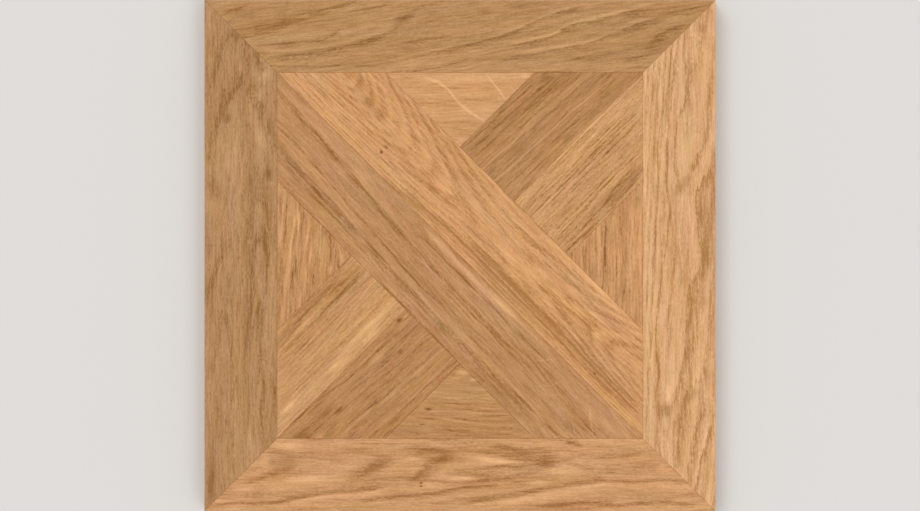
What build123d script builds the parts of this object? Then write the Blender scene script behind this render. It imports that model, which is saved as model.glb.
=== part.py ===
from build123d import *

import os
from math import sqrt

# A square oak parquet panel: a mitred frame round a field with two crossing diagonal bands.
# Every piece is a solid stave of the panel's full thickness. The pieces meet edge to edge with
# stopped tongue-and-groove joints, and a groove round the outside takes the loose tongues that
# join one panel to the next. Millimetres, +Z up. The origin is the middle of the underside, and
# the walking face is at Z = THICKNESS. +Y is the top of the pattern and +X its right-hand side.

# Overall sizes and the face pattern
PANEL_SIDE = 500.0
THICKNESS = 20.0
FRAME_WIDTH = 71.0
STAVE_WIDTH = 75.0  # each diagonal band is two staves wide
ARRIS = 0.3  # eased edge round the face of every piece

# The joints between the pieces
FACE_TO_JOINT = 7.5  # wood above the tongue, down to which the face can be sanded
TONGUE_THICKNESS = 5.0
TONGUE_LENGTH = 6.0
JOINT_PLAY = 0.1  # from a tongue to each cheek of its groove
GLUE_POCKET = 0.5  # from a tongue's tip to the bottom of its groove
JOINT_STOP = 10.0  # from the end of a tongue to the corner of its piece
END_PLAY = 0.5  # from the end of a tongue to the end of its groove

# The groove round the outside
EDGE_GROOVE_WIDTH = 5.2
EDGE_GROOVE_DEPTH = 8.5

OUTER = PANEL_SIDE / 2
INNER = OUTER - FRAME_WIDTH  # half the side of the field inside the frame
BAND = STAVE_WIDTH * sqrt(2)  # where a band's long edge meets the frame, from the field's corner
CROSSING = BAND / 2  # X and Y where an arm's middle line meets the through band's edge
GROOVE_WIDTH = TONGUE_THICKNESS + 2 * JOINT_PLAY
GROOVE_DEPTH = TONGUE_LENGTH + GLUE_POCKET
JOINT_TOP = THICKNESS - FACE_TO_JOINT  # upper cheek of every groove
# A mitre's tongue ends clear of the groove round the outside
MITRE_OUTER_STOP = EDGE_GROOVE_DEPTH * sqrt(2) + TONGUE_LENGTH + JOINT_STOP

TONGUE, GROOVE, PLAIN = "tongue", "groove", "plain"


def prism(corners, bottom, top):
    """An upright solid on a plan outline."""
    outline = make_face(Polyline(*corners, close=True))
    return Pos(0, 0, bottom) * extrude(outline, top - bottom)


def strip(start, end, outward, reach, bottom, top):
    """A straight bar along the line from start to end, that far to one side of it."""
    side = outward * reach
    corners = [start, end, end + side, start + side]
    return prism(corners, bottom, top)


def tongue(start, end, outward, stops):
    """The bar that stands out of an edge, short of the edge's two ends."""
    along = (end - start).normalized()
    first = start + along * stops[0]
    last = end - along * stops[1]
    cheek = JOINT_TOP - JOINT_PLAY
    return strip(first, last, outward, TONGUE_LENGTH, cheek - TONGUE_THICKNESS, cheek)


def groove(start, end, outward, stops):
    """The slot in an edge that takes the tongues of the pieces along it."""
    along = (end - start).normalized()
    first = start + along * (stops[0] - END_PLAY)
    last = end - along * (stops[1] - END_PLAY)
    return strip(first, last, -outward, GROOVE_DEPTH, JOINT_TOP - GROOVE_WIDTH, JOINT_TOP)


def stave(corners, joints, mitres=()):
    """One piece from its plan corners, anticlockwise, with the joint on the edge after each.

    mitres gives, by edge number, the stops at the start and end of a mitred edge.
    """
    points = [Vector(x, y) for x, y in corners]
    body = prism(points, 0, THICKNESS)
    body = chamfer(body.faces().sort_by(Axis.Z)[-1].edges(), ARRIS)
    for number, joint in enumerate(joints):
        start = points[number]
        end = points[(number + 1) % len(points)]
        along = (end - start).normalized()
        outward = Vector(along.Y, -along.X)
        stops = dict(mitres).get(number, (JOINT_STOP, JOINT_STOP))
        if joint == TONGUE:
            body += tongue(start, end, outward, stops)
        elif joint == GROOVE:
            body -= groove(start, end, outward, stops)
    return body


def edge_groove():
    """The groove that runs right round the outside of the panel."""
    floor = JOINT_TOP - EDGE_GROOVE_WIDTH
    square = Rectangle(PANEL_SIDE, PANEL_SIDE)
    left = PANEL_SIDE - 2 * EDGE_GROOVE_DEPTH
    return Pos(0, 0, floor) * extrude(square - Rectangle(left, left), EDGE_GROOVE_WIDTH)


def turned(corners, quarter_turns):
    """Plan corners turned anticlockwise about the middle of the panel."""
    for _ in range(quarter_turns):
        corners = [(-y, x) for x, y in corners]
    return corners


def frame_staves():
    """Four mitred staves: tongues on the rails' mitres go into grooves in the stiles'."""
    bottom = [(-OUTER, -OUTER), (OUTER, -OUTER), (INNER, -INNER), (-INNER, -INNER)]
    mitres = {1: (MITRE_OUTER_STOP, JOINT_STOP), 3: (JOINT_STOP, MITRE_OUTER_STOP)}
    names = ["frame_rail_bottom", "frame_stile_right", "frame_rail_top", "frame_stile_left"]
    slot = edge_groove()
    pieces = {}
    for turns, name in enumerate(names):
        mitre = TONGUE if "rail" in name else GROOVE
        joints = [PLAIN, mitre, GROOVE, mitre]
        pieces[name] = stave(turned(bottom, turns), joints, mitres) - slot
    return pieces


def through_staves():
    """The two long staves of the band that runs unbroken from the top left to the bottom right."""
    upper = [(-INNER, INNER), (INNER, -INNER), (INNER, BAND - INNER), (BAND - INNER, INNER)]
    return {
        "diagonal_stave_upper": stave(upper, [TONGUE, TONGUE, GROOVE, TONGUE]),
        "diagonal_stave_lower": stave(turned(upper, 2), [GROOVE, TONGUE, GROOVE, TONGUE]),
    }


def arm_staves():
    """The crossing band, cut by the through band into two arms of two short staves each."""
    seam = (CROSSING, CROSSING)
    corner = (INNER, INNER)
    left = [seam, corner, (INNER - BAND, INNER), (0, BAND)]
    right = [seam, (BAND, 0), (INNER, INNER - BAND), corner]
    left_joints = [TONGUE, TONGUE, GROOVE, TONGUE]
    right_joints = [TONGUE, GROOVE, TONGUE, GROOVE]
    return {
        "upper_arm_stave_left": stave(left, left_joints),
        "upper_arm_stave_right": stave(right, right_joints),
        "lower_arm_stave_right": stave(turned(left, 2), left_joints),
        "lower_arm_stave_left": stave(turned(right, 2), right_joints),
    }


def triangles():
    """The four filling pieces between the arms and the frame, with a tongue on every edge."""
    top = [(0, BAND), (INNER - BAND, INNER), (BAND - INNER, INNER)]
    names = ["triangle_top", "triangle_left", "triangle_bottom", "triangle_right"]
    return {name: stave(turned(top, n), [TONGUE] * 3) for n, name in enumerate(names)}


def main():
    os.makedirs("parts", exist_ok=True)
    pieces = frame_staves() | through_staves() | arm_staves() | triangles()
    for name, solid in pieces.items():
        export_step(solid, f"parts/{name}.step")


main()
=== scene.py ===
from dataclasses import dataclass
from math import cos, radians, sin

import bpy
from mathutils import Color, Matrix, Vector


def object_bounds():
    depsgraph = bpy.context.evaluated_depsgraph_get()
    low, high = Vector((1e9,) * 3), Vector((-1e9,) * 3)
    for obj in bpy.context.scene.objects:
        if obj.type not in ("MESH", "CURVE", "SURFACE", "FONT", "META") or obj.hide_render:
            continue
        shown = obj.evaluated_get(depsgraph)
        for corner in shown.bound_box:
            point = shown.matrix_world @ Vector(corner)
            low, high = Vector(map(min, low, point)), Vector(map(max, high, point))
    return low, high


# The looks of a square oak parquet panel, seen straight from above. Every stave keeps its solid
# and gets an oak of its own, made of growth rings, pores, fibres and rays around the heart of the
# log that the stave was sawn from. Sizes in the wood are in millimetres, along and across the
# grain from the middle of each stave's face. The scene itself is in metres.

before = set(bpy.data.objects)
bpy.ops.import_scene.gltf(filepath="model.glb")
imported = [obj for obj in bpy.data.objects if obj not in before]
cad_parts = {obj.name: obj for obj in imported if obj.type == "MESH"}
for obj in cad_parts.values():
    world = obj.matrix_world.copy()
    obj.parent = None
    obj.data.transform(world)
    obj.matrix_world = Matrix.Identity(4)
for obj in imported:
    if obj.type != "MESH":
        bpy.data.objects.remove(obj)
cad_low, cad_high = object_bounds()

MM = 0.001
FACE_Z = cad_high.z
FACE_TOLERANCE = 0.1 * MM

# The picture that the camera makes, and how far above the face it stands
IMAGE_WIDTH = 920
IMAGE_HEIGHT = 511
SENSOR_WIDTH = 36.0
CAMERA_HEIGHT = 3.0

# The floor and the light
FLOOR_REACH = 6.0
FLOOR_GAP = 0.2 * MM
FLOOR_COLOUR = (0.80, 0.78, 0.75, 1.0)
FLOOR_ROUGHNESS = 0.7
SKY_COLOUR = (1.0, 1.0, 1.0, 1.0)
SKY_STRENGTH = 0.62
SUNS = (("key", (-38, -30, 0), 0.9), ("fill", (35, 32, 0), 0.5))  # tilt in degrees, and strength
SUN_ANGLE = 35

# The highest number in a colour's hex digits
BRIGHTEST = 255

# The sockets of a node that mixes two colours
MIX_FACTOR = 0
MIX_COLOURS = (6, 7)
MIX_RESULT = 2

# Noise lies between 0 and 1, so this is its middle and also how far it swings to either side.
NOISE_MIDDLE = 0.5

# How many finer layers the noises have
PORE_DETAIL = 0.0
WAVE_DETAIL = 1.0
STREAK_DETAIL = 2.0
TINT_DETAIL = 3.0
TINT_ROUGHNESS = 0.6

# How far apart the staves' patches of noise lie, so that no two staves look alike
STAVE_SHIFT = 1370.0

# Streaks of tone that run with the fibres: length and width, and how strong they are
FINE_STREAK = (3.8, 0.9, 0.9)
MEDIUM_STREAK = (20.0, 2.2, 2.2)
BROAD_STREAK = (130.0, 13.0, 13.0)
FINE_TONE = 1.35
MEDIUM_TONE = 0.95
BROAD_TONE = 1.0
DARKEST = 1.35  # the tone that no place gets darker than
DARKEST_EASE = 0.6

# Slow waves in the fibres, and slow changes of tint
FIBRE_WAVE = (90.0, 30.0, 30.0)
FIBRE_REACH = 6.0
TINT_SIZE = (80.0, 12.0, 12.0)
HUE_MIDDLE = 0.5  # no change
HUE_RANGE = 0.024
SATURATION = 1.012
SATURATION_RANGE = 0.16

# Growth rings
WANDER_SIZE = (110.0, 26.0, 26.0)  # slow waves
FRAY_SIZES = ((36.0, 9.0, 9.0), (26.0, 3.2, 3.2), (9.0, 1.2, 1.2))  # rings frayed by the fibres
FRAY_REACH = 14.0  # how far the fibres fray an arch or a dark vein along the grain
RING_DRIFT_SCALE = 0.4  # how fast the rings' width changes
RING_DRIFT = 3.0  # and how much, in shares of a ring
RING_RISE = 0.35  # the share of a ring over which its early wood begins
RING_FADE = 0.95  # and the share at which it has faded out
RING_WEAKEST = 0.4
RING_TONE = 0.86
BASE_TONE = 0.15

# The pointed lines that rings draw
ARCH_REACH = 60.0  # how far behind the tip the limbs' places are given
ARCH_WAVE = 4.0  # how far an arch waves across
ARCH_INNER_EDGE = 0.35  # how soft its inner side is, as a share of the outer
ARCH_INSIDE_EDGE = 0.5  # and the start of the wood inside
ARCH_KEPT = 0.3  # the share of its length before it starts to fade

# The long lines
VEIN_SPAN = 520.0  # the longest stave, along and across
SPAN_MIDDLE = 0.5
VEIN_FADE = 25.0  # over which a vein starts and ends
SHORT_VEIN_PARTS = 3  # a short vein starts and ends over one of so many parts
VEIN_WAVE = 2.0  # how far it waves across
VEIN_EDGE = 3.0  # how far a light band beside a vein reaches, in widths of the vein

# Spots go through the whole stave, so that its sides show them too.
SPOT_DEPTH = 1000.0

# Pores
PORE_SIZE = (4.0, 0.7, 0.7)
PORE_EDGE = (0.08, 0.2)  # where in the noise a pore begins and is at its darkest
PORES_IN_RINGS = 0.7
PORES_BETWEEN = 0.3

# The finish is on the face and its eased edges. The eased edges are painted darker: painted shade
# in the joints between the staves, with a little dust. Below them the wood is raw.
ARRIS_DEPTH = (-0.15, -0.03)
ARRIS_SHADE_AND_DUST = 0.3
FINISH_DEPTH = (-0.6, -0.35)
FINISH_ROUGHNESS = 0.5
PORE_ROUGHNESS = 0.2  # added in pores
RAW_ROUGHNESS = 0.25  # added on raw wood
SPECULAR = 0.3
RAW_COLOUR = "DDBD92"
RAW_SHARE = 0.45
PIN_COLOUR = "7C3C02"

# The relief of fibres and pores
FIBRE_RELIEF = 0.3  # as a share of the pores'
BUMP_STRENGTH = 0.4
BUMP_DEPTH = 0.1 * MM


@dataclass
class Spot:
    """A place on a stave's face, its reach along and across the grain, and how strong it is."""
    along: float
    across: float
    length: float
    width: float
    amount: float
    lean: float = 0.0  # degrees from the grain
    rim: float = 1.0  # the share of its reach over which it fades


@dataclass
class Arch:
    """The pointed line that a growth ring draws on a flat-sawn face, with its limbs behind the tip."""
    along: float  # the tip
    across: float
    above: float  # from the middle line to each limb, ARCH_REACH behind the tip
    below: float
    tip_width: float  # how long the dark is at the tip
    width: float  # and how wide along the limbs
    amount: float
    length: float  # the limbs have faded out this far behind the tip
    inside: float = 0.0  # how much darker the wood is inside the tip
    blunt: float = 3.0  # from 1 for a straight point to 3 for a round one


@dataclass
class Vein:
    """A line along the grain, through places along and across the face."""
    points: tuple
    above: float  # how far it reaches on the two sides
    below: float
    amount: float  # how dark it is, or below 0 how light
    light_above: float = 0.0  # how light the wood is beside it
    light_below: float = 0.0


@dataclass
class Stave:
    """One stave of oak and how it was sawn from its log."""
    node: str
    turn: float  # degrees from +X to the grain
    light: str  # the tone between the growth rings
    dark: str  # the tone of the rings
    ring: float  # from one ring to the next
    heart: tuple  # the log's heart, across the face and below it
    dive: float = 0.0  # how fast the heart goes deeper along the stave
    bow: float = 0.0  # how it curves away
    swing: float = 0.0  # how fast it drifts across
    sway: float = 0.0  # how that drift curves
    spread: tuple = (1.0, 1.0)  # how close the rings lie on the two sides of the heart
    wander: float = 2.0  # slow waves in the rings
    lean: float = 0.0  # how fast the fibres drift across
    ragged: float = 0.35  # fraying of the rings, as a share of their width
    uneven: float = 0.4  # how much the rings differ in width
    pore: float = 0.4  # how dark the pores are
    rings: float = 1.0  # how dark the rings are
    lines: float = 0.7  # how dark the arches and veins are
    streaks: float = 1.35  # how strong the longer streaks between them are
    breaks: float = 1.8  # how much the streaks break up the darker lines
    swells: tuple = ()  # lifts in the rings
    arches: tuple = ()  # the clearest pointed lines
    veins: tuple = ()  # the clearest long lines
    patches: tuple = ()  # darker and lighter places
    pins: tuple = ()  # pin knots


FRAME = [
    Stave(
        "frame_rail_top", 0, light="C69562", dark="A27140", ring=9.0, heart=(-140, 40), swing=0.18,
        sway=0.00015, lean=0.12, rings=0.2, lines=0.85, streaks=1.45,
        veins=(
            Vein(((-238, 21), (-222, 25), (-211, 29), (-202, 36)), 3, 3, 0.9),
            Vein(((-240, -2), (-197, 1.5), (-181, 6), (-150, 17.5), (-125, 21)), 14, 2, 0.5),
            Vein(((-155, 21.5), (-136, 24.5), (-114, 31), (-92, 35)), 3, 3, 0.9),
            Vein(((-206, -10.5), (-169, -7), (-127, -1.5), (-119, 5), (-106, 17)), 3, 1, 0.9),
            Vein(((-205, -12.5), (-185, -14), (-150, -12.5), (-112, -5.5), (-60, 11)), 4, 3, -0.6),
            Vein(((-197, -19), (-165, -17.5), (-126, -12.5), (-93, -4), (-52, 13)), 1, 10, 0.7),
            Vein(((-60, 14), (-44, 25), (-31, 30.5), (-10, 36)), 3, 4, 0.6),
            Vein(((-113, 24), (-93, 26), (-80, 29), (-58, 34)), 2, 2, 0.6),
            Vein(((-75, -10.5), (-56, -7), (-31, -1.5), (0, 4)), 3, 6, 0.6),
            Vein(((-60, -21), (-31, -16.5), (0, -9.5), (38, 0), (86, 19.5), (130, 32)), 1.5, 6, 0.6, 0.5),
            Vein(((-205, -29.5), (-150, -29), (-90, -28.5), (-65, -26)), 2, 2, 0.8),
            Vein(((-75, -31), (-53, -28.5), (-13, -25), (10, -18)), 3, 3, -0.6),
            Vein(((-72, -35), (-23, -31), (0, -25), (14, -21)), 1.5, 1.5, 0.6),
            Vein(((35, -11.5), (82, -2.5), (93, 1), (99, 6), (140, 17.5), (200, 32)), 2, 8, 0.6, 0.9),
            Vein(((30, -23), (54, -19), (99, -12), (129, -6), (154, 3.5)), 2, 8, 0.7, 0.6),
            Vein(((148, 3), (164, 8.5), (175, 12), (197, 17.5)), 2, 9, 0.8, 0.8),
            Vein(((195, 21.5), (215, 25.5), (232, 28), (246, 33)), 1.5, 2, 0.6),
            Vein(((180, -8), (190, -3), (210, 8), (225, 12)), 4, 12, 0.9),
            Vein(((100, -24), (115, -22), (135, -20.5), (150, -19)), 3, 4, 0.7),
            Vein(((150, -25), (175, -21.5), (195, -17.5)), 3, 3, 0.6),
            Vein(((155, -31), (190, -30)), 1.5, 2, 0.7),
            Vein(((60, -35.5), (115, -35)), 2, 2, 0.6),
            Vein(((-5, -33), (13, -28.5), (36, -23)), 2, 2, -0.7),
        ),
        patches=(
            Spot(-55, 18, 20, 9, 0.8, 35), Spot(-121, 3, 7, 3.5, 0.6), Spot(-190, 10, 34, 9, 0.3),
            Spot(190, -8, 50, 16, 0.2, 25), Spot(-32, 12, 42, 8, 0.3, 15), Spot(68, 32, 30, 5, 0.4),
            Spot(115, 10, 16, 3, -0.5, 20), Spot(24, 24, 12, 5, 0.4), Spot(57, 29, 18, 4, 0.6),
            Spot(15, -14.5, 12, 2, -0.6),
        ),
    ),
    Stave(
        "frame_rail_bottom", 0, light="DCA572", dark="B07B49", ring=5.5, heart=(12, 28), dive=0.072,
        spread=(1.0, 0.8), uneven=0.1, rings=0.25, lines=0.95, streaks=1.3, breaks=0.7,
        swells=(Spot(25, -5, 60, 9, -3), Spot(200, 0, 130, 60, -5.5)),
        arches=(
            Arch(68, 12, 12, 6.5, 34, 6, 0.7, 95, inside=-0.5, blunt=1.4),
            Arch(28, -4, 5, 4, 28, 4, 0.6, 60, inside=-0.5, blunt=1.4),
        ),
        veins=(
            Vein(((-222, -11), (-201, -6), (-184, 0), (-160, 5), (-146, 6)), 8, 4, 0.7),
            Vein(((-118, -6), (-100, -3), (-88, 5), (-75, 12), (-58, 14)), 10, 8, 0.5),
            Vein(((-78, -11), (-60, -5), (-43, -2), (-36, 6), (-25, 13), (8, 17)), 7, 7, 0.5),
            Vein(((-60, 26), (-30, 24), (0, 22)), 3, 3, 0.5),
            Vein(((-185, -25.5), (-159, -23), (-136, -19), (-86, -14), (-61, -7)), 8, 3, 0.7, 0, 0.6),
            Vein(((-260, -36), (-226, -28.5), (-197, -28), (-150, -24)), 2.5, 3, 0.9),
            Vein(((-110, -26.5), (-76, -23), (-36, -19), (0, -13), (20, -11.5)), 2, 4, 0.8),
            Vein(((-5, -29), (23, -24), (53, -20), (99, -11), (150, -4)), 6, 5, 0.9, 0, 0.4),
            Vein(((120, -6), (150, -6), (179, -6.5), (195, -4.5), (226, -8), (250, -9)), 3, 4, 0.9, 0, 0.4),
            Vein(((66, -32), (101, -29), (122, -27), (150, -29), (177, -28), (240, -28)), 3, 4, 0.9),
            Vein(((93, 37), (105, 32), (122, 29)), 2, 3, 0.9),
            Vein(((118, 19.5), (150, 18), (185, 20), (200, 16)), 3, 3, 0.4),
            Vein(((-5, -13), (20, -11), (40, -12)), 2, 2, 0.6),
            Vein(((-110, 31), (-60, 31), (20, 30)), 1, 1.5, 0.4),
        ),
        patches=(
            Spot(-172, 12, 26, 14, 0.6), Spot(-88, 7, 34, 11, 0.6, 15), Spot(-40, 0, 18, 9, 0.4, 30),
            Spot(-15, 15, 32, 6, 0.5), Spot(-100, 24, 30, 5, 0.3), Spot(-30, 24, 36, 7, 0.5),
            Spot(-168, 28, 22, 6, -0.6), Spot(0, 36, 200, 7, 0.25), Spot(-140, 34, 60, 5, 0.4),
            Spot(112, 32, 16, 5, 0.5, -25), Spot(35, 15, 45, 6, -0.6, -8), Spot(86, 12, 16, 9, 0.5),
            Spot(52, 25, 30, 4, 0.4, -12), Spot(62, 1, 22, 4, 0.4, 12), Spot(5, -4, 26, 4, -0.5),
            Spot(-30, 2, 26, 10, 0.5, 30), Spot(-90, -7, 45, 5, 0.5, 8), Spot(-152, -14, 34, 4, 0.5, 8),
            Spot(95, 5, 30, 8, -0.3), Spot(-148, -4, 34, 6, -0.5), Spot(-191, 13, 8, 9, -0.5),
            Spot(-209, -14, 20, 4, -0.6), Spot(-48, 15, 18, 3, -0.6), Spot(-25, -10, 30, 4, -0.7),
            Spot(103, 3, 26, 8, -0.6), Spot(98, 20, 20, 4, -0.5), Spot(75, -7, 16, 5, -0.4),
            Spot(50, -28, 20, 4, -0.5), Spot(148, 2.5, 7, 1.5, 0.6), Spot(199, 6, 12, 6, -0.5),
        ),
        pins=(Spot(-38, -8, 2.6, 1.8, 0.9), Spot(-38, -11.3, 2.6, 1.8, 0.9)),
    ),
    Stave(
        "frame_stile_left", 90, light="C29364", dark="A17241", ring=5.0, heart=(-17, 24), dive=0.12,
        swing=0.04, pore=0.9, ragged=0.5, rings=0.35, lines=0.8, streaks=1.4,
        arches=(
            Arch(-57, 16, 10, 7, 14, 4, 0.4, 90, inside=-0.35, blunt=1.6),
            Arch(14, -18, 9, 9, 14, 4, 0.8, 45),
            Arch(52, -18, 12, 12, 14, 4, 0.5, 50),
            Arch(168, 1, 26, 30, 14, 5, 0.8, 80, blunt=1.6),
            Arch(215, 6, 22, 30, 12, 4, 0.7, 80),
        ),
        veins=(
            Vein(
                ((-194, -22), (-160, -20), (-119, -20.5), (-96, -17.5), (-64, -17), (-30, -15.5)),
                3, 6, 0.7,
            ),
            Vein(((-90, -19), (-53, -22), (0, -26), (25, -24)), 1.5, 2, 0.5),
            Vein(((-98, -5), (-68, -7), (-40, -10), (0, -12), (14, -13)), 3, 5, 0.7),
            Vein(((-146, 7.5), (-128, 6.5), (-116, 3)), 1.5, 1.5, 0.8),
            Vein(((-60, 35), (-39, 32.5), (-29, 29), (-10, 24), (4, 18), (18, 12)), 5, 5, 0.8),
            Vein(((-150, -34), (-120, -34)), 1.5, 1.5, 0.6),
            Vein(((50, 2), (80, -1), (108, -4)), 2, 2, -0.8),
            Vein(((68, -21), (82, -15), (96, -10)), 1, 1.5, 0.5),
            Vein(((114, -33), (132, -24)), 2, 2, 0.5),
            Vein(((170, 31), (182, 24.5), (198, 17), (208, 14.5)), 1.5, 2, 0.6),
            Vein(((182, -9), (198, -4), (214, 0)), 1.5, 1.5, 0.6),
        ),
        patches=(
            Spot(-222, 29, 34, 6, 0.8), Spot(-163, 14, 6, 2.5, 0.6), Spot(-185, -9, 28, 5, -0.5),
            Spot(-190, 10, 45, 7, 0.4), Spot(95, -6, 20, 4, -0.6), Spot(145, -8, 35, 7, -0.4),
            Spot(8, 18, 16, 5, 0.4), Spot(60, 21, 24, 5, 0.4), Spot(18, 5, 14, 3, 0.4),
            Spot(100, 10, 40, 14, -0.3), Spot(68, 26, 20, 8, 0.6), Spot(95, 32, 8, 2.5, 0.5),
            Spot(134, 13, 8, 7, 0.7, -40), Spot(163, 4, 8, 4, 0.7, -20), Spot(80, -27, 10, 7, 0.9),
            Spot(112, -18, 22, 10, -0.6), Spot(155, -18, 12, 9, -0.5), Spot(176, -24, 9, 7, -0.8),
            Spot(184, 0, 8, 3, -0.6),
        ),
    ),
    Stave(
        "frame_stile_right", 90, light="EBB784", dark="C38F5B", ring=4.63, heart=(2, 20), dive=-0.0217,
        swing=-0.07, spread=(1.0, 0.55), uneven=0.1, wander=1.2, ragged=0.15, rings=0.6, lines=0.95,
        streaks=1.3,
        veins=(
            Vein(
                (
                    (-152, 12), (-146, 21), (-136, 23), (-114, 20), (-93, 22.5), (-28, 18), (27, 10.5),
                    (49, 9.5), (66, 12), (86, 12.5), (159, 7), (212, 1), (240, -3),
                ),
                2, 2, 0.8,
            ),
            Vein(((-155, 14), (-148, 8), (-142, 4.5), (-132, 2), (-122, 0), (-100, -2)), 2, 6, 0.8),
            Vein(
                (
                    (-120, -0.5), (-92, -5), (-56, -8.5), (-29, -10.5), (-22, -15), (-14, -20), (24, -18.5),
                    (57, -16), (68, -19), (77, -24), (84, -29), (100, -33),
                ),
                1.2, 14, 0.8,
            ),
            Vein(
                (
                    (-214, 3), (-181, 1), (-156, -2), (-136, -6), (-129, -12), (-119, -20.5), (-111, -24.5),
                    (-101, -35),
                ),
                2, 7, 0.7,
            ),
            Vein(
                ((-235, -8), (-186, -12), (-174, -14.7), (-156, -23), (-146, -26), (-130, -35)),
                2, 4, 0.8,
            ),
            Vein(((-245, -15), (-206, -20.5), (-186, -26), (-166, -31.3), (-145, -38)), 2, 4, 0.9, 0.4),
            Vein(((-110, 11), (-80, 10.5), (-40, 8), (0, 4), (30, 4)), 3, 3, 0.4),
            Vein(((-100, 18), (-60, 18.5), (-30, 15.5)), 2, 3, -0.5),
            Vein(
                ((-45, 28), (0, 25), (60, 21.5), (132, 18.5), (145, 14.5), (200, 7), (230, 4)),
                1.2, 1.5, 0.7,
            ),
            Vein(((85, 25.5), (130, 24), (155, 24.5), (192, 20.5)), 1.2, 1.5, 0.5),
            Vein(
                (
                    (55, 0.5), (77, 2), (89, 4.4), (122, 3), (136, 1), (148, -6), (159, -8.5), (175, -8.5),
                    (192, -5), (220, -5), (250, -6),
                ),
                3, 3, 0.6,
            ),
            Vein(((60, 2), (69, -5.5), (87, -14.7), (119, -27), (149, -29), (185, -31)), 3, 6, 0.7),
        ),
        patches=(
            Spot(40, 9, 14, 2.5, 0.6), Spot(-151, 14, 11, 12, 0.8), Spot(64, -1, 9, 7, 0.6),
            Spot(36, -30, 64, 13, 0.45, rim=0.5), Spot(-48, -15, 36, 7, 0.3, -8),
            Spot(-70, 9.5, 50, 5, 0.3), Spot(-132, 10, 22, 8, -0.4), Spot(20, -12, 60, 4, -0.4),
            Spot(223, -21, 7, 4, 0.4), Spot(210, -15, 25, 8, -0.4), Spot(-185, 12, 40, 14, -0.3),
            Spot(72, -5, 14, 8, 0.6, -35), Spot(90, -14, 22, 5, 0.4, -30), Spot(140, 14, 60, 5, 0.4, -5),
            Spot(-137, -13, 14, 6, 0.6, -40), Spot(-215, -33, 40, 4, 0.5), Spot(100, -33, 16, 4, 0.5),
            Spot(-120, 28, 70, 6, -0.3),
        ),
    ),
]
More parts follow.
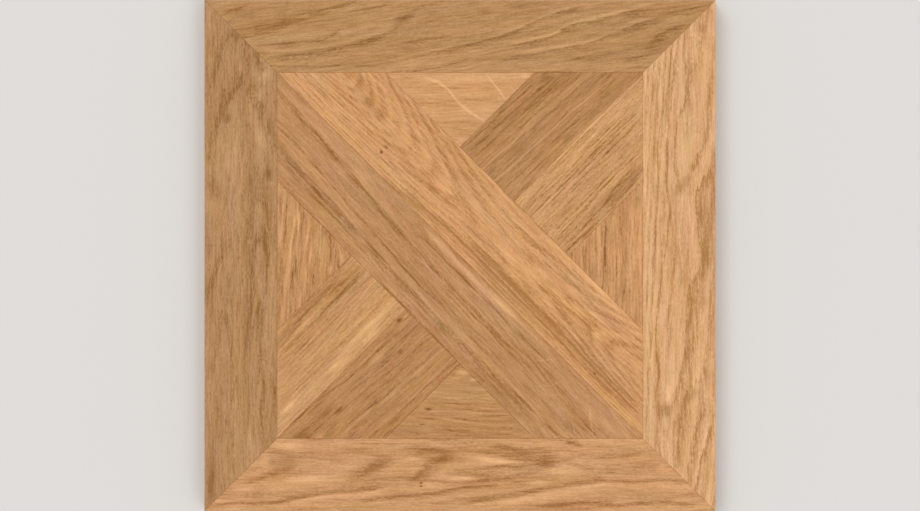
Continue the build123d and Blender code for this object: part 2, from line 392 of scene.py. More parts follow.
FIELD = [
    Stave(
        "diagonal_stave_upper", -45, light="E3A972", dark="BF8752", ring=2.5, heart=(-2.2, 39.7),
        dive=0.021, bow=-0.00035, swing=-0.005, sway=0.00022, spread=(0.7, 1.1), uneven=0.15, wander=0.9,
        ragged=0.2, rings=0.8,
        veins=(
            Vein(
                (
                    (-115, -37), (-95, -31), (-72, -27.5), (-38, -25), (0, -19), (37, -15.5), (146, -16),
                    (240, -22),
                ),
                1.5, 12, 0.6,
            ),
            Vein(((0, -22), (60, -21), (140, -22), (205, -23.5), (245, -26)), 1.5, 2, 0.8),
            Vein(((-60, -29), (0, -26.5), (60, -26.5), (158, -27), (225, -28)), 1.2, 1.5, 0.8),
            Vein(((-30, -33), (0, -31), (60, -31)), 1, 1.5, 0.5),
            Vein(((-98, 22), (-70, 20.5), (-55, 21.5), (-38, 18.5)), 1.5, 1.5, 0.5),
            Vein(((-5, 22), (37, 21), (94, 22), (127, 21.5), (144, 20), (163, 22.5)), 2, 2.5, 0.7),
            Vein(((148, 24), (178, 27.3), (192, 28)), 1.5, 1.5, 0.7),
            Vein(((-10, 17.5), (40, 17), (90, 17)), 1.5, 1.5, 0.4),
            Vein(((82, 10), (104, 13.3), (134, 14), (161, 16.7), (197, 21)), 1.8, 1.8, -0.8),
            Vein(((82, 0.5), (100, 4), (121, 6.6), (161, 12.5), (188, 15)), 1.5, 1.5, -0.5),
            Vein(((92, -0.5), (117, 0.7), (132, 2.4), (154, 5)), 2.5, 2.5, 0.95),
            Vein(((154, 6.5), (175, 11), (204, 15.5)), 1.5, 1.5, 0.5),
            Vein(((-195, -6.5), (-158, -6), (-142, -3.5)), 1.5, 1.5, 0.5),
            Vein(((138, 1), (151, -2), (168, -3.5), (195, -5.5)), 1.5, 1.5, -0.6),
            Vein(((80, -9), (108, -12.3)), 1.5, 1.5, -0.5),
            Vein(((-40, 16.5), (0, 13.5), (40, 12)), 1.5, 1.5, -0.4),
            Vein(((-60, 36), (80, 36), (160, 36.5)), 3, 3, -0.7),
        ),
        patches=(
            Spot(-60, -33, 60, 6, 0.6, 5), Spot(-172, 5, 32, 14, 0.3), Spot(-156, 4, 10, 5, 0.5),
            Spot(81, -4, 9, 3.5, 0.7), Spot(68, 4.5, 6, 2, 0.5), Spot(40, -3, 40, 8, -0.4),
            Spot(150, 1, 8, 3, -0.6), Spot(-215, -20, 40, 6, 0.4), Spot(110, -28, 150, 12, 0.25, rim=0.5),
            Spot(97, 4, 20, 9, -0.5), Spot(55, -26, 90, 11, 0.25, rim=0.6), Spot(120, 34, 40, 4, -0.6),
            Spot(-105, 2, 12, 12, -0.4), Spot(-50, -3, 22, 8, -0.4), Spot(-150, 8, 12, 14, 0.3),
        ),
        pins=(
            Spot(-126, -13.5, 3.2, 1.9, 0.8), Spot(-126, -20.4, 3.2, 2.4, 1.0), Spot(175, -26, 3, 2, 0.9),
        ),
    ),
    Stave(
        "diagonal_stave_lower", -45, light="CB9665", dark="A4703D", ring=6.0, heart=(-170, 60), swing=-0.03,
        sway=0.0001, lean=-0.04, rings=0.2, lines=0.85, streaks=1.5,
        veins=(
            Vein(
                (
                    (-245, 26), (-205, 24), (-161, 21.5), (-104, 16.5), (-77, 14), (0, 10.7), (70, 9.5),
                    (115, 9),
                ),
                3, 7, 0.7, 0.2,
            ),
            Vein(((-218, 1.5), (-183, 0.5), (-144, -2), (-84, -6), (-20, -10.5), (20, -11)), 1.5, 2, 0.7),
            Vein(((-150, 9), (-127, 5), (-100, 3.5)), 1, 1.5, 0.5),
            Vein(
                (
                    (-208, -10.5), (-180, -13.5), (-138, -14), (-77, -17.5), (0, -20.5), (100, -21),
                    (170, -19),
                ),
                3, 10, 0.7, 0.2,
            ),
            Vein(((-152, -23.5), (-85, -21.5)), 1, 1.5, 0.5),
            Vein(((-45, 25), (0, 24), (60, 24), (107, 24), (138, 25.5)), 1.5, 2, 0.8),
            Vein(((15, 22.3), (41, 21), (60, 22)), 1, 1.5, 0.5),
            Vein(((-50, 32), (0, 31), (40, 31), (90, 32)), 6, 5, -1.4),
            Vein(((40, 33), (100, 32.5), (145, 32)), 3, 3, -0.7),
            Vein(((15, 12.7), (58, 12.6), (121, 11.7), (148, 12.5)), 1.5, 1.5, -0.5),
            Vein(((-5, 6), (41, 5), (72, 5.7), (111, 4.2), (140, 4.5)), 1.2, 1.5, 0.6),
            Vein(((-150, -36.5), (-95, -37)), 1.5, 2, 0.7),
            Vein(((-50, -36.7), (0, -36.2), (80, -37)), 1.5, 2, 0.8),
            Vein(((58, -11.5), (92, -12)), 1.5, 1.5, 0.5),
            Vein(((190, 8), (205, 7), (228, 6.5)), 2, 2.5, 0.8),
            Vein(((170, -19.5), (190, -18), (206, -16.5)), 1.5, 3, 0.6),
            Vein(((122, 16), (129, 21), (134, 27.6), (141, 36)), 2, 2, -0.5),
            Vein(((144, 2), (153.6, 11.6), (156, 17.5), (160, 25)), 2, 2, -0.5),
            Vein(((155, -2), (163, 7.4), (167, 12)), 1.8, 1.8, -0.3),
            Vein(((192, 25), (201.7, 15.8), (208, 10.8), (220, 3)), 2, 2, -0.6),
            Vein(((190, 2), (205, -7), (209, -9)), 1.6, 1.6, -0.5),
        ),
        patches=(
            Spot(110, -33, 70, 7, 0.3), Spot(190, -6, 40, 8, 0.4), Spot(-130, 8, 80, 8, 0.2),
            Spot(178, 19, 10, 4, -0.5), Spot(200, 2, 25, 10, 0.4), Spot(205, 30, 25, 6, 0.3),
        ),
    ),
    Stave(
        "upper_arm_stave_left", 45, light="C28E5B", dark="9B6934", ring=4.2, heart=(80, 60), swing=-0.055,
        lean=-0.05, rings=0.2, lines=0.8, streaks=1.6,
        veins=(
            Vein(((-95, 36), (-70, 33.5), (-25, 32.5), (0, 30.7), (28, 28)), 1.5, 1.8, 0.9),
            Vein(((-95, 28.5), (-70, 26.2), (-42, 26), (0, 23.5), (35, 19.7)), 1.5, 1.8, 0.9),
            Vein(((-95, 20), (-50, 19), (-15, 17), (10, 15), (44, 12.3)), 1.5, 1.8, 0.7),
            Vein(((-85, 12), (-45, 9.5), (10, 6.3), (54, 4)), 1.5, 1.5, 0.6),
            Vein(((-95, 5), (-65, 3.5), (-32, 1), (0, -1), (58, -4)), 1.5, 2, 0.5, 0.4),
            Vein(((-78, -7), (-60, -9), (-38, -9.5)), 1, 1.5, 0.5),
            Vein(((-95, -9.5), (-65, -12), (-28, -13.5), (20, -15.7), (77, -22)), 1.4, 1.4, -0.9),
            Vein(((-90, -13.3), (-73, -14.7), (-45, -15)), 1, 1.2, 0.5),
            Vein(((-95, -21.7), (-60, -23), (0, -24.5), (20, -27), (82, -31.5)), 1.3, 1.5, 0.7),
            Vein(((18, -23), (55, -22.7), (87, -24.3)), 1, 1.5, 0.5),
            Vein(((-78, -27), (-50, -29), (-28, -29)), 1, 1.5, 0.5),
        ),
        patches=(
            Spot(44, -8.3, 9, 2, 0.5), Spot(-82, 0, 10, 2.5, 0.4), Spot(-70, -32.5, 30, 2, -0.5),
            Spot(-18, -29, 10, 3, -0.4), Spot(64, -17, 6, 1.5, 0.6), Spot(0, -37, 100, 3.5, -0.6),
            Spot(20, 26, 14, 8, 0.6, -30), Spot(-70, 8, 25, 2.5, 0.4), Spot(36, 4, 16, 2.5, 0.6),
            Spot(58, -16, 40, 10, 0.35, -10), Spot(-72, -10, 24, 7, -0.3),
        ),
    ),
    Stave(
        "upper_arm_stave_right", 45, light="DAA570", dark="AB763F", ring=3.8, heart=(-150, 80), pore=1.0,
        rings=0.2, lines=0.85, streaks=1.4,
        veins=(
            Vein(((-45, 34.5), (0, 34.8), (40, 34.2), (95, 34)), 1, 1.5, 0.6, 0.4),
            Vein(((-95, 22), (-75, 23), (-50, 21.5), (0, 22.5), (35, 22), (75, 20.5)), 1, 1.2, 0.7),
            Vein(((-70, 18), (-20, 18), (0, 19), (60, 17.5)), 1, 1, 0.4),
            Vein(((-95, 15), (-70, 16), (-35, 15), (5, 16), (68, 13)), 1, 1.2, 0.9),
            Vein(((-85, 12), (-45, 12), (-15, 11.5), (15, 12), (60, 10.5)), 1, 1.2, 0.7),
            Vein(((-90, 8), (-55, 8), (-30, 7), (10, 7), (60, 5.5)), 1, 1.2, 0.8),
            Vein(((-85, 3.5), (-60, 4.5), (-12, 3.5)), 1, 1, 0.5),
            Vein(((-95, -12), (-75, -11), (-40, -11), (0, -10), (22, -11)), 1, 1.5, 0.8),
            Vein(((-95, -18.5), (-65, -17), (-12, -14.5), (8, -14), (38, -16.5)), 1.2, 1.5, 0.9),
            Vein(((-95, -27), (-60, -28), (-25, -26.5), (-5, -22.5), (30, -23)), 1.5, 2.5, 0.7),
            Vein(((-95, -33.5), (-75, -33), (-50, -34.5), (-15, -34), (25, -29)), 1.5, 2, 0.6),
            Vein(((15, -1), (35, -2), (52, -3.5)), 1, 1, 0.5),
        ),
        patches=(
            Spot(10, 28, 60, 3, -0.4), Spot(35, 33, 70, 5, -0.35), Spot(-20, -24, 80, 12, 0.45),
            Spot(-80, -1, 10, 1.5, -0.5), Spot(0, -30, 40, 10, 0.4), Spot(-25, 24, 60, 12, -0.35),
            Spot(0, 37.5, 100, 3, -0.6),
        ),
        pins=(Spot(10, 7, 4, 2.2, 0.7),),
    ),
    Stave(
        "lower_arm_stave_left", 45, light="D7A26C", dark="A6723E", ring=5, heart=(-190, 60), rings=0.2,
        lines=0.6, streaks=1.2,
        veins=(
            Vein(((-25, 25.5), (-5, 27), (8, 28.5), (40, 28), (58, 27)), 5, 3, 0.15),
            Vein(((-38, 19.5), (-10, 18), (35, 18), (65, 18), (95, 20)), 3, 3, 0.6),
            Vein(((38, 25), (62, 26), (95, 23)), 3, 3, 0.5),
            Vein(((-42, 15), (-22, 14)), 1, 1, 0.6),
            Vein(((-38, 8.5), (-5, 8.5), (13, 8.5)), 1, 1.2, 0.7),
            Vein(((-40, 5), (5, 5), (48, 4.8), (70, 4.5)), 1, 1, 0.6),
            Vein(((-55, 1.5), (-15, 1), (35, 1.2), (70, 1)), 1, 1, 0.4),
            Vein(((5, -2.5), (45, -3.5), (95, -4)), 1, 1, 0.5),
            Vein(((-65, -5), (-20, -5.5)), 1, 1, 0.6),
            Vein(((5, -6), (45, -7.5), (95, -7.5)), 1, 1.2, 0.6),
            Vein(((-65, -11.5), (0, -12.5), (40, -13), (90, -13.5)), 1.2, 1.2, -0.5),
            Vein(((-70, -15.5), (-22, -17), (40, -16), (95, -16)), 1, 1.5, 0.4),
            Vein(((-95, -38), (0, -38), (25, -37.5)), 2, 1, 0.7),
        ),
        patches=(
            Spot(5, -30, 100, 8, -0.5), Spot(30, 31, 70, 12, 0.55), Spot(65, 20, 45, 7, 0.7),
            Spot(-15, 24, 30, 8, 0.4), Spot(70, -22, 40, 9, -0.3), Spot(62, 26, 11, 3, 0.5),
            Spot(5, 22.5, 32, 2.5, -0.2), Spot(-60, -24, 16, 4, -0.8), Spot(45, -23, 60, 4, -0.7),
            Spot(0, -27, 16, 4, -0.5), Spot(48, -31, 18, 4, -0.5), Spot(-27, -31, 6, 2, 0.5),
            Spot(80, 37, 12, 2, 0.6),
        ),
    ),
    Stave(
        "lower_arm_stave_right", 45, light="C58F5C", dark="996430", ring=4.2, heart=(-150, 60), swing=-0.06,
        lean=-0.06, rings=0.2,
        veins=(
            Vein(
                ((-85, 36.5), (-40, 36), (-25, 34), (-13, 31), (5, 29), (50, 28.5), (90, 25)),
                1.2, 1.5, 0.7,
            ),
            Vein(((-88, 32), (-65, 31.5), (-45, 28.5), (-25, 26.5)), 1.2, 1.2, 0.6),
            Vein(((-82, 25), (-65, 24), (-42, 21.5), (-25, 18.5)), 1.2, 1.5, 0.7),
            Vein(((-72, 18.5), (-55, 16.5), (-35, 15), (-20, 14)), 1.2, 1.5, 0.7),
            Vein(((0, 23), (30, 21), (45, 19.5), (65, 19), (90, 18.5)), 1, 1.2, 0.6),
            Vein(((-8, 18), (15, 16), (45, 14), (60, 12)), 1, 1.2, 0.7),
            Vein(((0, 9.8), (25, 7.5), (53, 4.2), (95, 1.8)), 1.2, 1.5, 0.8),
            Vein(((-10, 4), (15, 1.5), (35, -1), (52, -1)), 1, 1.2, 0.6),
            Vein(((-50, 1.5), (-30, -1.5), (-5, -3.5), (5, -6), (55, -10), (95, -12)), 1.2, 2, 0.95),
            Vein(((-45, -9), (-28, -8.5), (-5, -12)), 1, 1.2, 0.5),
            Vein(((-42, -13), (-28, -12.5)), 1, 1, 0.6),
            Vein(((-30, -24.5), (0, -26.5), (40, -28), (95, -28.5)), 1.2, 1.2, -0.6),
            Vein(((-5, -29.5), (35, -30), (95, -31.5)), 1, 1.2, 0.5),
            Vein(((-26, -27), (-10, -26.5)), 1, 1, 0.6),
        ),
        patches=(
            Spot(-27, 14, 8, 3.5, 0.8), Spot(56, 12.5, 6, 3, 0.7), Spot(84, 33, 5, 2, -0.6),
            Spot(35, 31.5, 30, 2.5, -0.4), Spot(-10, -35, 10, 2, 0.5), Spot(-72, 18, 16, 10, 0.7, -45),
            Spot(-38, 32, 22, 5, 0.5), Spot(-18, 21, 20, 3, -0.4), Spot(35, 23, 30, 7, -0.6),
            Spot(78, 27, 16, 3, -0.4), Spot(-48, 6, 16, 7, 0.5), Spot(50, 0, 60, 10, 0.2),
            Spot(45, -34, 50, 4, -0.4),
        ),
        pins=(Spot(77, 35, 4.8, 3, 0.9, -15),),
    ),
    Stave(
        "triangle_top", 0, light="DFA873", dark="BF8A52", ring=4.0, heart=(-200, 60), rings=0.3,
        veins=(
            Vein(
                ((-42, 36), (-35, 32), (-15, 23), (-9, 16.5), (-1, 6.5), (8, -1), (26, -12), (36, -18)),
                2.6, 2.6, -1.5,
            ),
            Vein(((21, 44), (28, 32), (35, 23), (42, 14), (50, 4)), 2.6, 2.6, -1.2),
            Vein(((-52, 12.3), (-35, 11), (-12, 10.5)), 1, 1.3, 0.7),
            Vein(((-50, 7), (-30, 6.5), (-2, 6)), 1, 1.3, 0.7),
            Vein(((0, 10), (25, 10), (36, 10.7)), 1, 1.3, 0.7),
            Vein(((-32, -11.7), (-15, -12.7), (4, -12), (12, -14.5)), 1.2, 1.5, 0.7),
            Vein(((-22, -22), (-5, -21.7), (12, -21.5)), 1, 1.2, 0.5),
            Vein(((-55, 23), (-20, 21.5), (45, 21)), 1, 1.2, 0.4),
            Vein(((-35, -4), (-5, -4.5)), 1, 1, 0.4),
            Vein(((-10, -18), (4, -18.5)), 1, 1, 0.5),
            Vein(((-36, 9), (-18, 8)), 1.2, 1.2, -0.5),
            Vein(((8, 8), (20, 7), (42, 7.5)), 1.2, 1.2, -0.5),
        ),
        patches=(
            Spot(0, 30, 60, 7, -0.4), Spot(64, 33, 8, 4, -0.6), Spot(-36, 2.3, 6, 2, -0.5),
            Spot(24, 1, 10, 2.5, -0.4), Spot(1, -29.5, 8, 3, -0.5), Spot(0, -14, 40, 5, 0.2),
            Spot(48, 20, 10, 4, 0.4), Spot(8, -17, 14, 2.5, -0.4),
        ),
    ),
    Stave(
        "triangle_left", 90, light="D09A66", dark="9C6734", ring=7.0, heart=(-200, 60), swing=-0.08,
        lean=-0.05, rings=0.2,
        veins=(
            Vein(((-72, 31.5), (-45, 29), (-20, 27), (0, 24.5), (20, 21.5), (58, 16)), 2.5, 2.5, -0.8),
            Vein(((-2, 17.7), (15, 17), (25, 15.7), (48, 14.7)), 1.5, 1.5, -0.7),
            Vein(((-5, 34), (20, 32.5), (64, 29)), 1.5, 1.5, -0.5),
            Vein(((-44, 9.7), (-20, 8), (0, 4), (20, 1.3)), 2.5, 2.5, -0.6),
            Vein(((-12, 10.7), (5, 9.5), (20, 6.5), (42, 4)), 1.3, 1.3, -0.7),
            Vein(((-42, 23), (-20, 21.5), (-8, 19.7)), 1, 1.2, 0.8),
            Vein(((-25, 19), (-10, 18.5), (0, 17.5)), 1.5, 1.5, 0.9),
            Vein(((10, 28), (25, 28), (64, 26.3)), 1, 1.2, 0.8),
            Vein(((-15, 32.2), (8, 30.3)), 1, 1.2, 0.5),
            Vein(((12, 12.7), (25, 12.5), (44, 9)), 1.2, 1.3, 0.9),
            Vein(((-34, 2.3), (-15, 0.3), (-4, -1.3)), 1, 1.2, 0.8),
            Vein(((-30, -8), (-12, -8.7)), 1, 1, 0.7),
            Vein(((-9, -14.7), (5, -15.5), (30, -15)), 1.2, 1.3, 0.6),
            Vein(((-14, -20.3), (14, -21.5)), 1, 1.2, 0.7),
            Vein(((-8, -27.5), (4, -25.3), (15, -22.7)), 1.3, 1.3, -0.7),
        ),
        patches=(
            Spot(-11, -23.7, 4, 1.7, 0.8), Spot(-45, 15, 16, 3, -0.4), Spot(14, -2.5, 16, 3, -0.4),
            Spot(0, -35, 6, 3, 0.6), Spot(-13, -16, 10, 4, -0.5), Spot(50, 33, 25, 2.5, 0.7),
            Spot(0, 4, 22, 3, -0.4), Spot(38, 16, 20, 3.5, -0.7, -5), Spot(-5, 19, 9, 2.5, 0.5),
            Spot(24, -10, 10, 5, 0.6), Spot(-7, -23, 7, 3, 0.5),
        ),
    ),
    Stave(
        "triangle_bottom", 0, light="C8945F", dark="A66F3B", ring=4.6, heart=(-160, 60), swing=-0.05,
        lean=-0.05, rings=0.2,
        veins=(
            Vein(((-20, 18), (-5, 17), (5, 16.5), (22, 16)), 1.2, 1.2, -0.9),
            Vein(((2, 13.7), (15, 13), (32, 9.5)), 1.3, 1.3, -0.6),
            Vein(((-32, 5.8), (-20, 4.5), (-8, 3), (5, 0.5), (40, -1.5)), 1.4, 1.4, -0.7),
            Vein(((-42, -1.7), (-20, -4), (-10, -6), (10, -8.5), (50, -10)), 1.2, 1.2, 0.9),
            Vein(((-18, -2), (0, -2.7), (12, -4.3)), 1, 1, 0.6),
            Vein(((10, -6), (25, -7), (48, -8)), 1, 1, -0.7),
            Vein(((5, -10.8), (25, -12), (54, -12)), 1.2, 1.2, -0.6),
            Vein(((-52, -11.5), (-30, -15), (-10, -18), (10, -21), (35, -24), (64, -22)), 1.4, 1.4, -0.8),
            Vein(((-22, -12), (0, -14), (20, -16.5), (56, -16)), 1.2, 1.2, -0.6),
            Vein(((-48, -14.5), (-38, -16.5), (-22, -17.7)), 1.2, 1.2, 0.6),
            Vein(((-14, -14.5), (0, -17), (20, -19), (34, -18.3)), 1.2, 1.3, 0.9),
            Vein(((14, -13.7), (30, -14.5), (56, -12.7)), 1, 1, 0.8),
            Vein(((-20, -26), (-10, -28), (5, -31), (14, -31)), 1.3, 1.5, 0.9),
            Vein(((-64, -28), (-50, -30), (-43, -32), (-32, -31.3)), 1.5, 1.5, 0.9),
            Vein(((26, -25.7), (54, -27.3)), 1, 1.2, 0.5),
            Vein(((16, -31.7), (58, -33)), 1.2, 1.2, 0.6),
        ),
        patches=(
            Spot(2, 28, 10, 5, -0.9), Spot(-4, 22.5, 9, 2, -0.6), Spot(13, 21, 6, 2, -0.8),
            Spot(-37, -22.7, 6, 2, 0.9), Spot(-27, -24.5, 4, 1.5, 0.6), Spot(-28, -12.5, 4, 1.3, 0.6),
            Spot(-25, -32.5, 10, 2, -0.5), Spot(15, -29, 8, 2, -0.4), Spot(26, 6.3, 6, 1.5, -0.5),
        ),
        pins=(Spot(-31, -7.7, 6, 2.6, 0.9),),
    ),
    Stave(
        "triangle_right", 90, light="D79E6A", dark="A3703D", ring=4.0, heart=(-200, 60), rings=0.2,
        veins=(
            Vein(((-55, 3.5), (-15, 1.6), (5, 0.5), (55, -1)), 1.6, 1.8, 1.1),
            Vein(((-44, -2.3), (-26, -2.7)), 1, 1, 0.6),
            Vein(((-14, 4), (10, 3.7), (35, 3.5)), 0.8, 1, 0.6),
            Vein(((-19, 19.3), (12, 19.5)), 1, 1, 0.7),
            Vein(((-17, 22), (8, 22.5), (15, 22.5)), 1, 1.2, 0.7),
            Vein(((-24, 12), (-5, 11.5), (5, 13), (25, 13.5)), 1, 1, 0.5),
            Vein(((-24, 7.7), (3, 7.7)), 1, 1, 0.5),
            Vein(((-25, 5.7), (-10, 6.5), (8, 5.5), (30, 6)), 0.9, 0.9, -0.5),
            Vein(((-46, -6.7), (-15, -9), (25, -7.5), (44, -6)), 1, 1, -0.6),
            Vein(((-42, -11.3), (-5, -13), (25, -11), (52, -10.3)), 1, 1, -0.6),
            Vein(((-50, -9), (-20, -10.5), (0, -10.3), (20, -9.3)), 0.9, 0.9, 0.6),
            Vein(((-52, -15.3), (-36, -18), (-15, -19), (0, -16.5), (14, -17.7)), 1.2, 1.4, 0.7),
            Vein(((10, -16.3), (30, -15.3)), 1.2, 1.2, 0.7),
            Vein(((26, -27), (50, -27)), 1, 1, -0.5),
        ),
        patches=(
            Spot(1, 33.5, 6, 2, 0.8), Spot(0, 20.5, 22, 5, 0.3), Spot(35, -8, 16, 4, -0.3),
            Spot(0, -28, 80, 7, -0.35), Spot(12, -26.5, 6, 1.2, 0.5), Spot(38, -23.5, 12, 1.5, -0.4),
            Spot(18, -33, 14, 2, -0.4), Spot(-15, -1, 30, 3, 0.4), Spot(12, 10, 20, 3, 0.4),
            Spot(-30, -17, 25, 5, 0.3), Spot(0, -34, 70, 3.5, -0.4), Spot(-55, -27, 14, 4, -0.5),
            Spot(60, -29, 8, 3, -0.6),
        ),
    ),
]


class Field:
    """A number that varies over a surface: one node's output, with arithmetic."""

    def __init__(self, tree, socket):
        self.tree = tree
        self.socket = socket

    def __add__(self, other):
        return self.tree.math("ADD", self, other)

    def __sub__(self, other):
        return self.tree.math("SUBTRACT", self, other)

    def __rsub__(self, other):
        return self.tree.math("SUBTRACT", other, self)

    def __mul__(self, other):
        return self.tree.math("MULTIPLY", self, other)

    def __truediv__(self, other):
        return self.tree.math("DIVIDE", self, other)

    __radd__ = __add__


class Tree:
    """The node tree of one material, with short ways to add to it."""

    def __init__(self, name):
        self.material = bpy.data.materials.new(name)
        self.material.use_nodes = True
        self.nodes = self.material.node_tree.nodes
        self.links = self.material.node_tree.links
        self.surface = self.nodes["Principled BSDF"]

    def plug(self, socket, value):
        if isinstance(value, Field):
            self.links.new(value.socket, socket)
        else:
            socket.default_value = value

    def add(self, kind, values, output=0, **settings):
        """A node of that kind, with values for its inputs by name or number."""
        node = self.nodes.new("ShaderNode" + kind)
        for name, setting in settings.items():
            setattr(node, name, setting)
        for name, value in values.items():
            self.plug(node.inputs[name], value)
        return Field(self, node.outputs[output])

    def math(self, operation, *values):
        return self.add("Math", dict(enumerate(values)), operation=operation)

    def vector(self, operation, *values):
        return self.add("VectorMath", dict(enumerate(values)), operation=operation)

    def length(self, vector):
        return self.add("VectorMath", {0: vector}, output="Value", operation="LENGTH")

    def step(self, value, low, high):
        """0 below low, 1 above high and smooth between them."""
        places = {"Value": value, "From Min": low, "From Max": high}
        return self.add("MapRange", places, interpolation_type="SMOOTHSTEP")

    def noise(self, place, size, detail=WAVE_DETAIL):
        """Smooth noise about 0, with lumps of that size along, across and through."""
        scaled = self.vector("DIVIDE", place, size)
        values = {"Vector": scaled, "Scale": 1.0, "Detail": detail}
        return self.add("TexNoise", values) - NOISE_MIDDLE

    def noises(self, place, size, detail, roughness):
        """Three noises about 0 that differ from each other."""
        scaled = self.vector("DIVIDE", place, size)
        values = {"Vector": scaled, "Scale": 1.0, "Detail": detail, "Roughness": roughness}
        parts = self.parts(self.add("TexNoise", values, output="Color"))
        return [part - NOISE_MIDDLE for part in parts]

    def spot(self, place, spot):
        """A spot's amount in its middle, falling smoothly to 0 at its rim."""
        values = {
            "Vector": place,
            "Location": (spot.along, spot.across, 0),
            "Rotation": (0, 0, radians(spot.lean)),
            "Scale": (spot.length, spot.width, SPOT_DEPTH),
        }
        inside = self.add("Mapping", values, vector_type="TEXTURE")
        ball = self.add("TexGradient", {"Vector": inside}, output=1, gradient_type="SPHERICAL")
        return self.step(ball, 0.0, spot.rim) * spot.amount

    def parts(self, vector):
        """The three numbers of a vector."""
        node = self.nodes.new("ShaderNodeSeparateXYZ")
        self.plug(node.inputs[0], vector)
        return [Field(self, output) for output in node.outputs]

    def mix(self, factor, *colours):
        """The first colour where the factor is 0, the second where it is 1, and on beyond both."""
        node = self.nodes.new("ShaderNodeMix")
        node.data_type = "RGBA"
        node.clamp_factor = False
        self.plug(node.inputs[MIX_FACTOR], factor)
        for socket, value in zip(MIX_COLOURS, colours):
            self.plug(node.inputs[socket], value)
        return Field(self, node.outputs[MIX_RESULT])


def colour(code):
    """A linear colour from its six sRGB hex digits."""
    parts = [part / BRIGHTEST for part in bytes.fromhex(code)]
    return (*Color(parts).from_srgb_to_scene_linear(), 1.0)


def face_middle(node, turn):
    """The middle of a stave's face, measured along and across its grain."""
    along = Vector((cos(turn), sin(turn), 0))
    across = Vector((-sin(turn), cos(turn), 0))
    points = [vertex.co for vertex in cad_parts[node].data.vertices]
    top = [point for point in points if point.z > FACE_Z - FACE_TOLERANCE]
    middle = Vector((0, 0, FACE_Z))
    for way in (along, across):
        reaches = [point.dot(way) for point in top]
        middle += way * (min(reaches) + max(reaches)) / 2
    return middle


def stave_place(tree, stave):
    """Places in a stave, along and across its grain from the middle of its face."""
    turn = radians(stave.turn)
    values = {
        "Vector": tree.add("TexCoord", {}, output="Object"),
        "Location": face_middle(stave.node, turn),
        "Rotation": (0, 0, turn),
        "Scale": (MM, MM, MM),
    }
    return tree.add("Mapping", values, vector_type="TEXTURE")


def fibres(tree, stave, place, number):
    """Places in the wood, straightened along its fibres and far from every other stave's."""
    along, across, height = tree.parts(place)
    shifted = along + STAVE_SHIFT * number
    apart = tree.add("CombineXYZ", {"X": shifted, "Y": across, "Z": height})
    bent = across - along * stave.lean + tree.noise(apart, FIBRE_WAVE) * FIBRE_REACH
    return tree.add("CombineXYZ", {"X": shifted, "Y": bent, "Z": height})


def ring_radius(tree, stave, place, wood, frays):
    """How far each point is from the heart of the log, with the waves that wood has."""
    along, across, height = tree.parts(place)
    heart_across = along * (along * stave.sway + stave.swing) + stave.heart[0]
    heart_depth = along * (along * stave.bow + stave.dive) + stave.heart[1]
    sideways = across - heart_across
    above, below = stave.spread
    sideways = tree.math("MAXIMUM", sideways, 0) * above + tree.math("MINIMUM", sideways, 0) * below
    radius = tree.length(tree.add("CombineXYZ", {"Y": sideways, "Z": height + heart_depth}))
    radius = radius + tree.noise(wood, WANDER_SIZE) * (stave.wander / NOISE_MIDDLE)
    for fray in frays:
        radius = radius + fray * (stave.ragged * stave.ring / NOISE_MIDDLE)
    for swell in stave.swells:
        radius = radius + tree.spot(place, swell)
    return radius


def early_wood(tree, stave, radius):
    """1 where a ring's porous early wood begins, fading to 0 in its late wood."""
    rings = radius / stave.ring
    drift = tree.add("TexNoise", {"W": rings, "Scale": RING_DRIFT_SCALE}, noise_dimensions="1D")
    rings = rings + (drift - NOISE_MIDDLE) * (RING_DRIFT * stave.uneven)
    count = tree.math("FLOOR", rings)
    phase = rings - count
    early = tree.step(phase, 0.0, RING_RISE) * (1.0 - tree.step(phase, RING_RISE, RING_FADE))
    strength = tree.add("TexWhiteNoise", {"W": count}, noise_dimensions="1D")
    return early * (strength * (1 - RING_WEAKEST) + RING_WEAKEST)


def arch_tone(tree, arch, place, frays):
    """How much darker an arch makes each point: sharp on its inner side, soft on the outer."""
    along, across, _ = tree.parts(place)
    wave, coarse, fine = frays
    back = arch.along - along + (coarse + fine) * FRAY_REACH
    side = across - arch.across + wave * ARCH_WAVE
    reach = tree.math("MAXIMUM", side / arch.above, side / -arch.below)
    steepest = arch.blunt * ARCH_REACH / min(arch.above, arch.below)
    steep = tree.math("POWER", reach, arch.blunt - 1) * steepest
    curve = tree.math("POWER", reach, arch.blunt) * ARCH_REACH
    edge = (back - curve) / (steep * arch.width + arch.tip_width)
    line = tree.step(edge, -1.0, 0.0) * (1.0 - tree.step(edge, 0.0, ARCH_INNER_EDGE))
    inner = tree.step(edge, 0.0, ARCH_INSIDE_EDGE) * arch.inside
    limbs = 1.0 - tree.step(back, ARCH_KEPT * arch.length, arch.length)
    return (line * arch.amount + inner) * limbs


def span_share(length):
    """A length in the wood as a share of the span that a curve covers."""
    return length / VEIN_SPAN + SPAN_MIDDLE


def vein_middle(tree, vein, along):
    """How far across a vein's middle lies, at each place along it."""
    node = tree.nodes.new("ShaderNodeFloatCurve")
    curve = node.mapping.curves[0]
    first, *between, last = [(span_share(u), span_share(v)) for u, v in vein.points]
    curve.points[0].location = first
    curve.points[1].location = last
    for point in between:
        curve.points.new(*point)
    node.mapping.update()
    tree.plug(node.inputs["Value"], span_share(along))
    return (Field(tree, node.outputs[0]) - SPAN_MIDDLE) * VEIN_SPAN


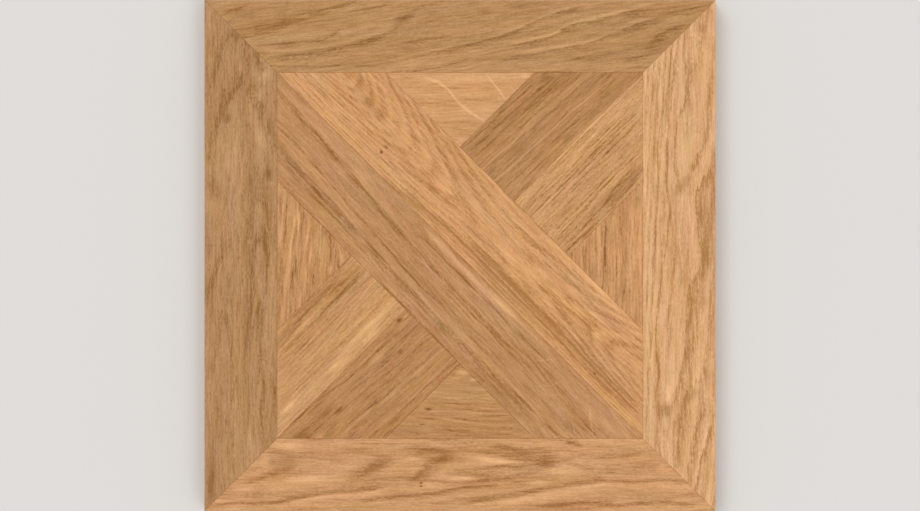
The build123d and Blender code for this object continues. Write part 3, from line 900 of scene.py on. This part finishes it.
def vein_tone(tree, vein, place, frays):
    """How much darker a vein makes each point."""
    along, across, _ = tree.parts(place)
    wave, coarse, fine = frays
    frayed = along
    if vein.amount > 0:
        frayed = along + (coarse + fine) * FRAY_REACH
    side = across - vein_middle(tree, vein, frayed)
    side = side + (wave + coarse + fine) * min(VEIN_WAVE, (vein.above + vein.below) / 2)
    line = tree.step(side, -vein.below, 0.0) * (1.0 - tree.step(side, 0.0, vein.above))
    tone = line * vein.amount
    if vein.light_above:
        beside = tree.step(side, 0.0, vein.above)
        beside = beside * (1.0 - tree.step(side, vein.above, VEIN_EDGE * vein.above))
        tone = tone - beside * vein.light_above
    if vein.light_below:
        beside = tree.step(side, -VEIN_EDGE * vein.below, -vein.below)
        beside = beside * (1.0 - tree.step(side, -vein.below, 0.0))
        tone = tone - beside * vein.light_below

    first = vein.points[0][0]
    last = vein.points[-1][0]
    fade = min(VEIN_FADE, (last - first) / SHORT_VEIN_PARTS)
    ends = tree.step(along, first, first + fade) * (1.0 - tree.step(along, last - fade, last))
    return tone * ends


def figure(tree, stave, place, wood):
    """The rings and the clearest lines: above 0 where they are dark, below 0 where they are light."""
    frays = [tree.noise(wood, size) for size in FRAY_SIZES]
    rings = early_wood(tree, stave, ring_radius(tree, stave, place, wood, frays))
    lines = [arch_tone(tree, arch, place, frays) for arch in stave.arches]
    lines += [vein_tone(tree, vein, place, frays) for vein in stave.veins]
    return rings * stave.rings + sum(lines) * stave.lines


def wood_colour(tree, stave, place, wood, tone):
    """The colour of a stave's tones, with slow changes of tint and with its pin knots."""
    base = tree.mix(tone, colour(stave.light), colour(stave.dark))
    hue, saturation, _ = tree.noises(wood, TINT_SIZE, TINT_DETAIL, TINT_ROUGHNESS)
    tint = {
        "Hue": hue * HUE_RANGE + HUE_MIDDLE,
        "Saturation": saturation * SATURATION_RANGE + SATURATION,
        "Color": base,
    }
    base = tree.add("HueSaturation", tint)
    for pin in stave.pins:
        base = tree.mix(tree.spot(place, pin), base, colour(PIN_COLOUR))
    return base


def oak(stave, number):
    """The material of one stave."""
    tree = Tree(stave.node + "_oak")
    place = stave_place(tree, stave)
    wood = fibres(tree, stave, place, number)
    _, _, height = tree.parts(place)

    rings = figure(tree, stave, place, wood)
    dark_rings = tree.math("MAXIMUM", rings, 0.0)
    fine = tree.noise(wood, FINE_STREAK, STREAK_DETAIL)
    medium = tree.noise(wood, MEDIUM_STREAK)
    broad = tree.noise(wood, BROAD_STREAK, STREAK_DETAIL)
    broken = dark_rings * ((medium + fine) * stave.breaks)
    streaks = medium * MEDIUM_TONE + broad * BROAD_TONE
    pores = tree.step(tree.noise(wood, PORE_SIZE, PORE_DETAIL), *PORE_EDGE)
    pores = pores * (dark_rings * PORES_IN_RINGS + PORES_BETWEEN)

    tone = (rings + broken) * RING_TONE + BASE_TONE
    tone = tone + streaks * stave.streaks + fine * FINE_TONE
    for patch in stave.patches:
        tone = tone + tree.spot(place, patch)
    tone = tone + pores * stave.pore
    # Painted shade in the joints, with a little dust: the eased edges get a darker tone
    tone = tone + (1.0 - tree.step(height, *ARRIS_DEPTH)) * ARRIS_SHADE_AND_DUST
    tone = tree.math("SMOOTH_MIN", tone, DARKEST, DARKEST_EASE)

    raw = 1.0 - tree.step(height, *FINISH_DEPTH)
    base = wood_colour(tree, stave, place, wood, tone)
    base = tree.mix(raw * RAW_SHARE, base, colour(RAW_COLOUR))
    roughness = pores * PORE_ROUGHNESS + raw * RAW_ROUGHNESS + FINISH_ROUGHNESS
    relief = fine * FIBRE_RELIEF - pores
    bump = {"Height": relief, "Strength": BUMP_STRENGTH, "Distance": BUMP_DEPTH}
    tree.plug(tree.surface.inputs["Base Color"], base)
    tree.plug(tree.surface.inputs["Roughness"], roughness)
    tree.plug(tree.surface.inputs["Specular IOR Level"], SPECULAR)
    tree.plug(tree.surface.inputs["Normal"], tree.add("Bump", bump))
    return tree.material


def dress_staves():
    """Each stave's solid gets its own oak."""
    for number, stave in enumerate(FRAME + FIELD):
        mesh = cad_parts[stave.node].data
        mesh.materials.clear()
        mesh.materials.append(oak(stave, number))


def make_floor():
    """A plain pale floor, just below the panel."""
    low = cad_low.z - FLOOR_GAP
    square = ((-1, -1), (1, -1), (1, 1), (-1, 1))
    corners = [(x * FLOOR_REACH, y * FLOOR_REACH, low) for x, y in square]
    mesh = bpy.data.meshes.new("floor")
    mesh.from_pydata(corners, [], [(0, 1, 2, 3)])
    floor = bpy.data.objects.new("floor", mesh)
    bpy.context.scene.collection.objects.link(floor)
    pale = Tree("pale_floor")
    pale.surface.inputs["Base Color"].default_value = FLOOR_COLOUR
    pale.surface.inputs["Roughness"].default_value = FLOOR_ROUGHNESS
    mesh.materials.append(pale.material)


def make_light():
    """An even sky and two broad suns."""
    world = bpy.data.worlds.new("studio")
    world.use_nodes = True
    sky = world.node_tree.nodes["Background"]
    sky.inputs["Color"].default_value = SKY_COLOUR
    sky.inputs["Strength"].default_value = SKY_STRENGTH
    bpy.context.scene.world = world
    for name, tilt, strength in SUNS:
        sun = bpy.data.lights.new(name, "SUN")
        sun.energy = strength
        sun.angle = radians(SUN_ANGLE)
        lamp = bpy.data.objects.new(name, sun)
        lamp.rotation_euler = [radians(turn) for turn in tilt]
        bpy.context.scene.collection.objects.link(lamp)


def make_camera():
    """Straight down, so that the panel's face is as high as the picture."""
    data = bpy.data.cameras.new("camera")
    side = cad_high.y - cad_low.y
    data.sensor_fit = "HORIZONTAL"
    data.sensor_width = SENSOR_WIDTH
    data.lens = SENSOR_WIDTH * CAMERA_HEIGHT / (side * IMAGE_WIDTH / IMAGE_HEIGHT)
    camera = bpy.data.objects.new("camera", data)
    camera.location = (0, 0, FACE_Z + CAMERA_HEIGHT)
    bpy.context.scene.collection.objects.link(camera)
    bpy.context.scene.camera = camera


dress_staves()
make_floor()
make_light()
make_camera()
bpy.context.scene.view_settings.view_transform = "Standard"
